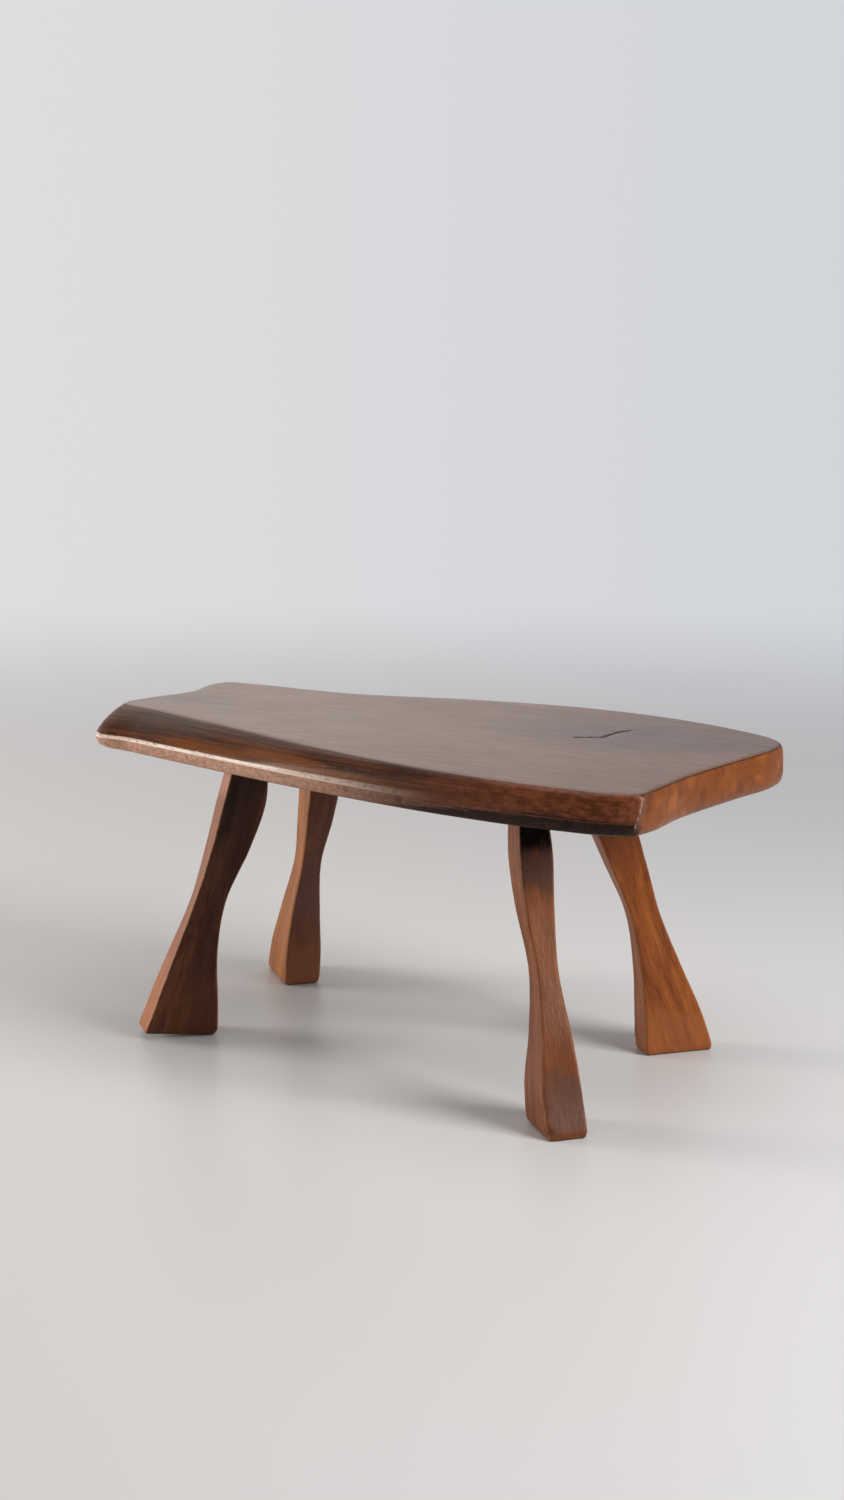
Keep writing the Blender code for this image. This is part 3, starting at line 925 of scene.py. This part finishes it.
def slab_finish(groups):
    """Dark brown waxed hardwood: silky on top, streaked and amber on the natural edge."""
    material, net, shader, place = new_material("slab wood")
    figure, timber = groups[:2]
    wear, wax = groups[3:]
    names = ("edge", "near_side", "end_side", "crease", "facet")
    edge, near, endwise, crease, facet = (net.number(name) for name in names)
    x, y = net.add("ShaderNodeSeparateXYZ", {0: place}).outputs[:2]

    from_heart = net.stretch(place, WHOLE, (0.0, -0.03, -0.17), (0.0, 0.03, 0.05))
    wood = net.use(figure, Vector=from_heart, Ring_Gap=0.0105, Wander=0.030)
    fibre, pores = wood["Fibre"], wood["Pores"]
    streaks, coarse = edge_streaks(net, edge, x, y)
    mottle = net.noise(place, 90.0, 4.0, 0.6)
    # The bottom of the crack is painted near black: painted shade in the recess.
    crack_shade = net.ease(net.number("crack"), 0.78, 0.97)
    top = net.mix(crack_shade, slab_top_colour(net, groups, place, wood, x, y), CRACK_PAINTED_SHADE)
    wane = wane_colour(net, groups, place, wood, edge, x, streaks, coarse)
    end_wood = end_colour(net, timber, place, wood, mottle)
    side = net.mix(net.ease(endwise, 0.70, 0.93), wane, end_wood)

    # Below the lip: pale and speckled at the left, partly paler worn wood and partly painted light
    # from the low left window;
    # near black at the right, partly dark bark and partly the painted shade of the undercut.
    specks = net.noise(net.stretch(place, (0.5, 1.0, 1.0)), 420.0, 3.0, 0.7)
    nose = net.mix(net.ease(specks, 0.40, 0.66), NOSE_PINK_WEAR_AND_LIGHT, NOSE_BROWN)
    nose = net.mix(net.ease(mottle, 0.52, 0.74, 0.0, 0.7), nose, NOSE_GREY)
    under = net.plus(edge, net.times_plus(streaks, 0.9, -0.45))
    left = net.ease(x, -0.09, 0.11, 1.0, 0.0)
    on_nose = net.ease(edge, 0.93, 1.02)
    left_near = net.times(left, net.ease(near, 0.3, 0.7))
    # pale: the nose at the left, partly paler worn wood and partly painted light from the low left
    # window.
    pale = net.times(on_nose, left_near)
    side = net.mix(net.times(pale, 0.92), side, nose)
    band = net.ease(x, 0.03, 0.20, 1.45, 0.98)
    # dark is the band under the lip at the right: near black, partly dark bark and partly painted
    # shade of the undercut.
    dark = net.ease(net.minus(under, band), -0.05, 0.10)
    dark = net.times(net.times(dark, net.ease(near, 0.25, 0.6)), net.ease(x, 0.02, 0.10))
    bark_and_shade = net.mix(net.ease(specks, 0.4, 0.7), BARK_AND_SHADE_BLACK, BARK_AND_SHADE_RED)
    side = net.mix(net.times(dark, 0.93), side, bark_and_shade)
    underside = net.ease(edge, 1.75, 2.0)
    side = net.mix(net.times(underside, 0.5), side, UNDER_BROWN)

    # The corner: a painted sheen on its facet, and along its crease a painted highlight that is
    # partly pale worn wood. Then the arrises.
    side = net.mix(net.times(facet, 0.60), side, FACET_PAINTED_SHEEN)
    side = net.mix(net.ease(crease, 0.80, 0.98), side, CREASE_WEAR_AND_HIGHLIGHT)
    seam = net.times(net.ease(edge, 0.02, 0.06), net.ease(edge, 0.14, 0.30, 1.0, 0.0))
    seam = net.times(seam, net.ease(endwise, 0.6, 0.9))
    side = net.mix(net.times(seam, 0.85), side, SEAM_DARK)
    colour = net.mix(net.ease(edge, 0.02, 0.07), top, side)
    arris = net.minus(1.0, net.math("ABSOLUTE", net.minus(edge, 0.13)))
    arris = net.ease(arris, 0.90, 1.0)
    arris = net.times(arris, net.ease(near, -0.2, 0.6, 1.0, 0.25))
    lip = net.math("ABSOLUTE", net.minus(edge, 0.90))
    lip = net.times(net.ease(lip, 0.02, 0.09, 1.0, 0.0), left)
    # A painted highlight: a pale line along the lip at the left, where the low left window glints.
    line = net.ease(net.math("ABSOLUTE", net.minus(edge, 0.95)), 0.04, 0.10, 1.0, 0.0)
    line = net.times(net.times(line, left_near), net.ease(specks, 0.24, 0.50))
    colour = net.mix(net.times(line, 0.85), colour, LIP_PAINTED_HIGHLIGHT)
    worn = net.use(wear, Arris=arris, Vector=place, Amount=0.45)
    colour = net.mix(worn["Worn"], colour, SLAB_WORN)
    colour = net.mix(worn["Bare"], colour, SLAB_BARE)

    gloss = net.ease(edge, 0.03, 0.15, 0.62, 0.66)
    gloss = net.times_plus(dark, -0.08, gloss)
    gloss = net.times_plus(pale, -0.10, gloss)
    gloss = net.times_plus(lip, 0.20, gloss)
    rough = net.use(wax, Vector=place, Fibre=fibre, Worn=worn["Worn"], Gloss=gloss)[0]
    shader.inputs["Specular IOR Level"].default_value = WOOD_SPECULAR
    coat = net.ease(edge, 0.02, 0.08, 0.9, 0.22)
    coat = net.math("MAXIMUM", coat, lip)
    coat = net.math("SUBTRACT", coat, net.math("MAXIMUM", crack_shade, dark), clamp=True)
    coat = net.times(coat, net.ease(endwise, 0.7, 0.9, 1.0, 0.15))
    coat = net.times(coat, net.times_plus(facet, -0.85, 1.0))
    net.feed(shader.inputs["Coat Weight"], coat)
    shader.inputs["Coat Roughness"].default_value = 0.22

    on_side = net.ease(edge, 0.05, 0.3)
    height = net.times_plus(fibre, 0.5, net.times(pores, -0.5))
    height = net.times(height, net.times_plus(on_side, 0.8, 0.2))
    height = net.times_plus(net.times(streaks, on_side), 2.2, height)
    rough_bark = net.times(net.math("MAXIMUM", dark, pale), specks)
    height = net.times_plus(rough_bark, 1.4, height)
    finish_with(net, shader, colour, rough, height, 0.00022)
    return material


# Each leg's wood: three tones, from dark to light, and the tone of its sawn sides.
LEG_TONES = {
    "front_left": (
        (0.026, 0.008, 0.004), (0.066, 0.020, 0.009), (0.125, 0.041, 0.018), (0.240, 0.090, 0.040),
    ),
    "back_left": (
        (0.170, 0.054, 0.011), (0.255, 0.086, 0.018), (0.345, 0.122, 0.029), (0.175, 0.069, 0.042),
    ),
    "front_right": (
        (0.080, 0.025, 0.009), (0.165, 0.050, 0.018), (0.240, 0.078, 0.028), (0.185, 0.057, 0.018),
    ),
    "back_right": (
        (0.098, 0.025, 0.005), (0.205, 0.053, 0.010), (0.305, 0.088, 0.018), (0.230, 0.078, 0.028),
    ),
}
LEG_RAGGED = 1.7              # how ragged every patch on a leg is
# Darker or lighter patches: the sides they lie on, their middle and half size over the
# share of the leg's height and metres across it, strength and colour.
LEG_PATCHES = {
    "front_left": (
        ("broad", (0.1, 0.0, 0.16, 0.03), 0.5, (0.100, 0.032, 0.012)),
        # Painted shade at the top of the broad face, under the slab.
        ("broad", (0.97, -0.03, 0.12, 0.06), 0.35, (0.012, 0.005, 0.004)),
        # Partly pale worn wood and partly a painted sheen from the left window at the top of the
        # sawn side.
        ("sawn", (0.97, 0.0, 0.11, 0.06), 0.7, (0.400, 0.190, 0.120)),
        ("sawn", (0.1, 0.0, 0.26, 0.06), 0.6, (0.400, 0.130, 0.040)),
    ),
    "back_left": (
        ("sawn", (0.97, 0.0, 0.3, 0.06), 0.7, (0.105, 0.036, 0.024)),
        ("sawn", (0.4, 0.0, 0.16, 0.04), 0.5, (0.170, 0.090, 0.078)),
        ("sawn", (0.04, 0.0, 0.16, 0.06), 0.6, (0.270, 0.098, 0.040)),
    ),
    "front_right": (
        # Painted shadow of the slab: near black over the top of this leg's front, then a painted
        # shade where that shadow fades below it.
        ("sawn", (0.95, 0.0, 0.095, 0.08), 1.0, (0.004, 0.002, 0.001)),
        ("sawn", (0.82, 0.0, 0.09, 0.06), 0.8, (0.090, 0.040, 0.029)),
        ("sawn", (0.1, 0.0, 0.13, 0.05), 0.7, (0.094, 0.042, 0.032)),
        ("sawn", (0.0, 0.0, 0.05, 0.06), 0.5, (0.120, 0.036, 0.010)),
    ),
    "back_right": (
        ("broad", (0.86, 0.0, 0.24, 0.08), 0.5, (0.160, 0.040, 0.008)),
        ("broad", (0.64, 0.014, 0.03, 0.007), 0.45, (0.070, 0.022, 0.008)),
        ("broad", (0.58, 0.02, 0.07, 0.005), 0.45, (0.080, 0.024, 0.008)),
        ("broad", (0.06, 0.0, 0.12, 0.08), 0.4, (0.310, 0.105, 0.036)),
    ),
}


def leg_finish(name, foot, grain, groups):
    """Red-brown hardwood with upright grain, pale along its arrises: partly rubbed bare wood and
    partly a painted highlight.
    """
    material, net, shader, place = new_material("leg wood " + name.replace("_", " "))
    figure, timber, patch, wear, wax = groups
    arris, rise = net.number("arris"), net.number("rise")
    upright = grain.rotation_difference(Vector((1, 0, 0))).to_matrix()
    laid = net.stretch(place, WHOLE, upright @ -foot, upright.to_euler())
    heart = net.stretch(laid, WHOLE, (0.0, 0.075, 0.055))
    wood = net.use(figure, Vector=heart, Ring_Gap=0.0065, Wander=0.022)
    fibre, pores = wood["Fibre"], wood["Pores"]
    cloud = net.ease(net.noise(net.stretch(laid, (8.0, 34.0, 34.0)), 1.0, 3.0), 0.34, 0.66)
    *tones, side_tone = LEG_TONES[name]
    colour = lay_timber(net, timber, tones, wood, Cloud=cloud)
    rag = net.noise(net.stretch(laid, (14.0, 60.0, 60.0)), 1.0, 4.0, 0.6)
    sawn = net.ease(net.number("sawn"), 0.55, 0.80)
    uneven = net.times_plus(cloud, 0.5, net.times(fibre, 0.5))
    sawn_tone = net.mix(1.0, side_tone, net.mix(uneven, *SAWN_RANGE), "MULTIPLY")
    colour = net.mix(net.times(sawn, 0.92), colour, sawn_tone)
    across = net.add("ShaderNodeSeparateXYZ", {0: laid}).outputs["Y"]
    sides = {"sawn": sawn, "broad": net.minus(1.0, sawn)}
    for side, shape, strength, tint in LEG_PATCHES[name]:
        shape = (*shape, LEG_RAGGED)
        within = sides[side]
        colour = lay_patch(net, patch, colour, (rise, across, rag), shape, strength, tint, within)
    sole = net.ease(rise, 0.0, 0.035, 1.0, 0.0)
    rubbed = net.math("MAXIMUM", arris, net.times(sole, 0.75))
    # The pale lines along the arrises are partly rubbed bare wood and partly a painted highlight.
    worn = net.use(wear, Arris=rubbed, Vector=place, Amount=0.62)
    colour = net.mix(worn["Worn"], colour, LEG_WORN)
    colour = net.mix(worn["Bare"], colour, LEG_BARE_AND_HIGHLIGHT)
    grime = net.times(net.ease(rise, 0.0, 0.012, 1.0, 0.0), 0.7)
    colour = net.mix(grime, colour, GRIME)
    rough = net.use(wax, Vector=place, Fibre=fibre, Worn=worn["Worn"], Gloss=0.60)[0]
    shader.inputs["Specular IOR Level"].default_value = WOOD_SPECULAR
    height = net.times_plus(fibre, 0.7, net.times(pores, -0.7))
    height = net.times_plus(rag, 1.2, height)
    finish_with(net, shader, colour, rough, height, 0.00018)
    return material


def dowel_finish(groups):
    """Pale, bare dowel rod with upright grain."""
    material, net, shader, place = new_material("dowel wood")
    figure, timber = groups[:2]
    upright = net.stretch(place, WHOLE, turn=(0.0, math.pi / 2, 0.0))
    wood = net.use(figure, Vector=upright, Ring_Gap=0.002, Wander=0.004)
    colour = lay_timber(net, timber, DOWEL_TONES, wood, Cloud=net.noise(place, 60.0))
    rough = net.ease(wood["Fibre"], 0.0, 1.0, 0.55, 0.72)
    finish_with(net, shader, colour, rough, wood["Fibre"], 0.0001)
    return material


# ---- the stage
CAMERA_PLACE = (0.992, -1.940, 0.735)
CAMERA_TURN = math.radians(27)      # to the left of +Y
CAMERA_DOWN = math.radians(11.77)
CAMERA_ROLL = 0.0094
CAMERA_LENS = 57.6
FLOOR_WHOLE = 0.6             # the floor fades out between these distances
FLOOR_END = 3.0
FLOOR_PAINT = (0.67, 0.67, 0.675)
BACKDROP_LEFT = (0.74, 0.73, 0.735)
BACKDROP_RIGHT = (0.64, 0.66, 0.70)
WALL_LEFT = (0.68, 0.645, 0.625)
WALL_RIGHT = (0.33, 0.35, 0.38)
ROOM_DARK = (0.070, 0.066, 0.064)
# The lights: name, azimuth and elevation in degrees, distance, size, power and colour.
WINDOWS = (
    ("left window", 196, 7, 2.4, (0.95, 0.75), 52, (1.0, 0.93, 0.86)),
    ("right window", -4, 27, 2.4, (1.1, 1.1), 58, (1.0, 0.98, 0.96)),
    ("ceiling light", 90, 88, 2.2, (2.0, 2.0), 20, (1.0, 0.99, 0.98)),
)


def camera_axes():
    """The camera's right, up and forward directions."""
    turn, down = CAMERA_TURN, CAMERA_DOWN
    right = Vector((math.cos(turn), math.sin(turn), 0))
    ahead = Vector((-math.sin(turn), math.cos(turn), 0))
    forward = ahead * math.cos(down) - Vector((0, 0, math.sin(down)))
    up = right.cross(forward)
    level = right * math.cos(CAMERA_ROLL) + up * math.sin(CAMERA_ROLL)
    upright = up * math.cos(CAMERA_ROLL) - right * math.sin(CAMERA_ROLL)
    return level, upright, forward


def add_camera():
    lens = bpy.data.cameras.new("camera")
    lens.lens = CAMERA_LENS
    lens.sensor_width = 36.0
    lens.clip_end = 100.0
    camera = in_scene("camera", lens)
    right, up, forward = camera_axes()
    turned = Matrix((right, up, -forward)).transposed().to_4x4()
    camera.matrix_world = Matrix.Translation(CAMERA_PLACE) @ turned
    bpy.context.scene.camera = camera


def add_window(name, azimuth, elevation, distance, size, power, colour):
    """A big soft light that looks at the bench. Azimuth is counted from +X to +Y."""
    light = bpy.data.lights.new(name, "AREA")
    light.shape = "RECTANGLE"
    light.size, light.size_y = size
    light.energy = power
    light.color = colour
    lamp = in_scene(name, light)
    a, e = math.radians(azimuth), math.radians(elevation)
    way = Vector((math.cos(a) * math.cos(e), math.sin(a) * math.cos(e), math.sin(e)))
    lamp.location = way * distance + Vector((0, 0, 0.2))
    lamp.rotation_mode = "QUATERNION"
    lamp.rotation_quaternion = way.to_track_quat("Z", "Y")


def add_room():
    """A pale wall behind the bench in a darker room, with a plain pale backdrop."""
    world = bpy.data.worlds.new("room")
    bpy.context.scene.world = world
    world.use_nodes = True
    net = Net(world.node_tree)
    background = world.node_tree.nodes["Background"]
    way = net.add("ShaderNodeTexCoord").outputs["Generated"]
    turn = CAMERA_TURN
    ahead = net.vector("DOT_PRODUCT", way, (-math.sin(turn), math.cos(turn), 0.0))
    right = net.vector("DOT_PRODUCT", way, (math.cos(turn), math.sin(turn), 0.0))
    wall = net.mix(net.ease(right, -0.1, 0.22), WALL_LEFT, WALL_RIGHT)
    height = net.add("ShaderNodeSeparateXYZ", {0: way}).outputs["Z"]
    level = net.ease(height, 0.5, 0.85, 1.0, 0.3)
    lit = net.mix(net.times(net.ease(ahead, 0.2, 0.8), level), ROOM_DARK, wall)
    backdrop = net.mix(net.ease(right, -0.25, 0.25), BACKDROP_LEFT, BACKDROP_RIGHT)
    seen = net.add("ShaderNodeLightPath").outputs["Is Camera Ray"]
    net.feed(background.inputs["Color"], net.mix(seen, lit, backdrop))


def add_floor():
    """A pale floor that fades into the backdrop a few steps away from the bench."""
    mesh = bpy.data.meshes.new("floor")
    bm = bmesh.new()
    bmesh.ops.create_grid(bm, x_segments=1, y_segments=1, size=FLOOR_END)
    bm.to_mesh(mesh)
    bm.free()
    floor = in_scene("floor", mesh)
    paint, net, shader, place = new_material("floor")
    net.feed(shader.inputs["Base Color"], FLOOR_PAINT)
    shader.inputs["Roughness"].default_value = 0.36
    fade = net.ease(net.vector("LENGTH", place), FLOOR_WHOLE, FLOOR_END, 1.0, 0.0)
    net.feed(shader.inputs["Alpha"], fade)
    mesh.materials.append(paint)


# ---- together
def main():
    groups = (
        wood_figure_group(), timber_colour_group(), patch_group(), edge_wear_group(),
        wax_group(),
    )
    marks = tool_marks_tree()

    slab = make_slab()
    carve(slab, marks, slab_finish(groups), *SLAB_MARKS, SLAB_SEED)
    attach(slab, "root")
    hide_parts("slab_top")

    for number, name in enumerate(LEG_CHIPS):
        leg, foot, grain = make_leg(name)
        finish = leg_finish(name, foot, grain, groups)
        carve(leg, marks, finish, *LEG_MARKS, FIRST_LEG_SEED + number)
        leg.name = name + "_leg"
        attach(leg, "root")
        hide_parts("leg_" + name)

    bare = dowel_finish(groups)
    for name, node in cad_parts.items():
        if name.startswith("dowel"):
            for slot in node.material_slots:
                slot.material = bare

    add_floor()
    add_room()
    for window in WINDOWS:
        add_window(*window)
    add_camera()
    bpy.context.scene.view_settings.view_transform = "Standard"


main()
